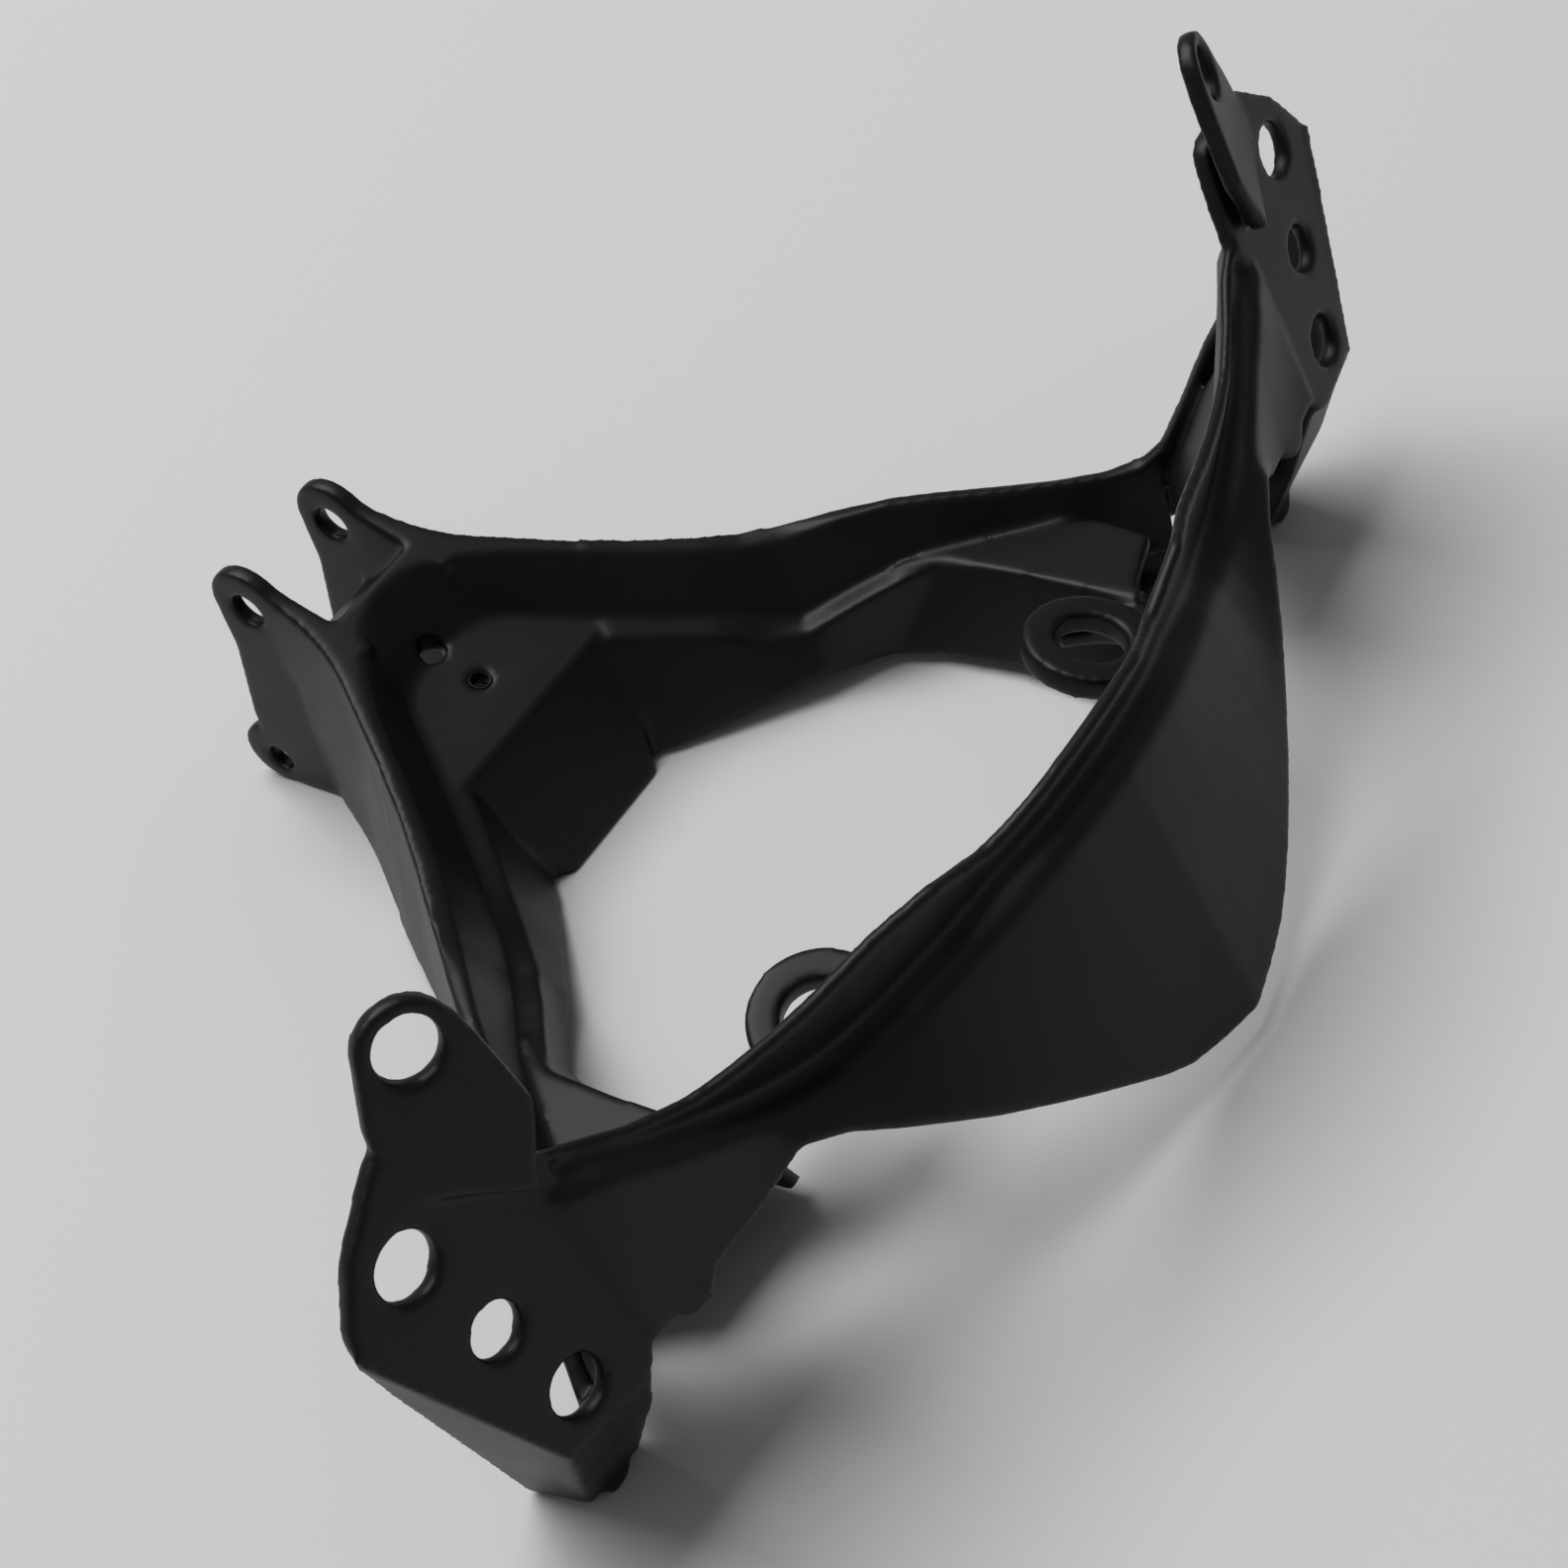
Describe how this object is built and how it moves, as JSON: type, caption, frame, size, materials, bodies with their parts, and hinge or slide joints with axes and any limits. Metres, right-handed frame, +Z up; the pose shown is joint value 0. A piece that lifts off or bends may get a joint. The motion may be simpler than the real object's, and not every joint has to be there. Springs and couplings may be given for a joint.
{
  "type": "headlight mounting bracket",
  "caption": "Cast bracket that carries a headlamp, mirrors and fairing: rear clamp ears, two channel arms round an open ring, a visor-shaped crossbar and upright side plates with holes.",
  "frame": {"origin": "middle of the bounding box, on the table the casting stands on", "axes": "+X forward from the rear clamp ears to the visor, +Y to the left, +Z up"},
  "size_m": [0.2665, 0.3642, 0.1358],
  "materials": {
    "black_paint": "matt black paint on cast aluminium"
  },
  "bodies": {
    "root": {"bracket_casting": "black_paint"}
  },
  "joints": []
}
